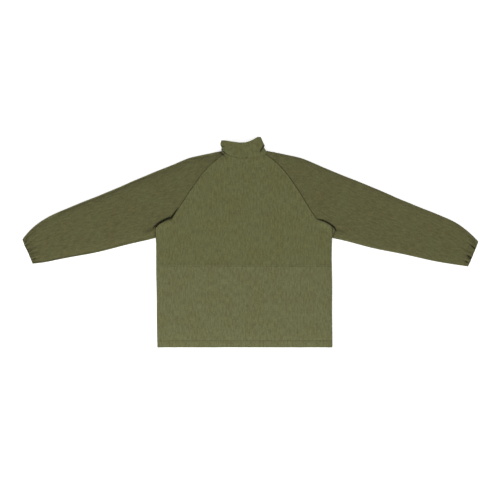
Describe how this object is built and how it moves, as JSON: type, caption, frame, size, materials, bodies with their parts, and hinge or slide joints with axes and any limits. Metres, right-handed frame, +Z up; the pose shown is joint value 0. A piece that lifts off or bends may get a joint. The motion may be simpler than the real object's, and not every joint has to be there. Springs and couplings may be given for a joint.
{
  "type": "beekeeping jacket",
  "caption": "Zip-front beekeeping jacket laid flat with its back up: raglan sleeves, elasticated cuffs, stand collar, patch pockets and a lengthwise front zip.",
  "frame": {"origin": "on the surface the jacket lies on, under the middle of its outline", "axes": "+X to the wearer's right across the sleeves, +Y from hem to collar, +Z up out of the back"},
  "size_m": [1.663, 0.766, 0.026],
  "materials": {
    "shell_cloth": "matt slub cotton weave, olive",
    "facing_cloth": "matt cotton, olive, darker",
    "tape": "woven tape, dark olive",
    "elastic": "knitted elastic band, off-white",
    "zip_teeth": "moulded teeth, dark olive",
    "zip_metal": "dark painted metal",
    "hook_and_loop": "hook and loop pile, dark olive"
  },
  "bodies": {
    "torso": {"back_upper_panel": "shell_cloth", "back_lower_panel": "shell_cloth", "back_hem_facing": "facing_cloth", "back_neck_facing": "facing_cloth", "hang_loop": "tape", "right_front_panel": "shell_cloth", "left_front_panel": "shell_cloth", "right_front_facing": "facing_cloth", "left_front_facing": "facing_cloth", "right_front_hem_facing": "facing_cloth", "left_front_hem_facing": "facing_cloth", "right_pocket": "shell_cloth", "left_pocket": "shell_cloth", "right_zip_tape": "tape", "left_zip_tape": "tape", "left_zip_chain": "zip_teeth", "right_zip_chain": "zip_teeth", "zip_insert_pin": "zip_metal", "right_zip_top_stop": "zip_metal", "left_zip_top_stop": "zip_metal", "zip_retaining_box": "zip_metal", "zip_wind_flap": "facing_cloth"},
    "right_sleeve": {"right_sleeve_back": "shell_cloth", "right_sleeve_front": "shell_cloth", "right_cuff_elastic": "elastic", "right_cuff_casing": "shell_cloth"},
    "left_sleeve": {"left_sleeve_back": "shell_cloth", "left_sleeve_front": "shell_cloth", "left_cuff_elastic": "elastic", "left_cuff_casing": "shell_cloth"},
    "collar": {"collar_outer": "shell_cloth", "collar_lining": "facing_cloth", "throat_tab": "shell_cloth", "throat_loop_patch": "hook_and_loop", "throat_hook_patch": "hook_and_loop"},
    "slider": {"zip_slider": "zip_metal"},
    "pull": {"zip_pull": "zip_metal"}
  },
  "joints": [
    {"name": "right_sleeve_fold", "type": "hinge", "parent": "torso", "child": "right_sleeve", "pos_m": [0.21576, 0.18761, 0.027], "axis": [0.6279, -0.7783, 0], "range_deg": [0, 165]},
    {"name": "left_sleeve_fold", "type": "hinge", "parent": "torso", "child": "left_sleeve", "pos_m": [-0.21576, 0.18761, 0.027], "axis": [0.6279, 0.7783, 0], "range_deg": [0, 165]},
    {"name": "collar_fold", "type": "hinge", "parent": "torso", "child": "collar", "pos_m": [0, 0.307, 0.027], "axis": [1, 0, 0], "range_deg": [0, 160]},
    {"name": "zip_slide", "type": "slide", "parent": "torso", "child": "slider", "axis": [0, -1, 0], "range_m": [0, 0.611]},
    {"name": "zip_pull_swing", "type": "hinge", "parent": "slider", "child": "pull", "pos_m": [0, 0.2447, 0.0019], "axis": [1, 0, 0], "range_deg": [0, 170]}
  ]
}
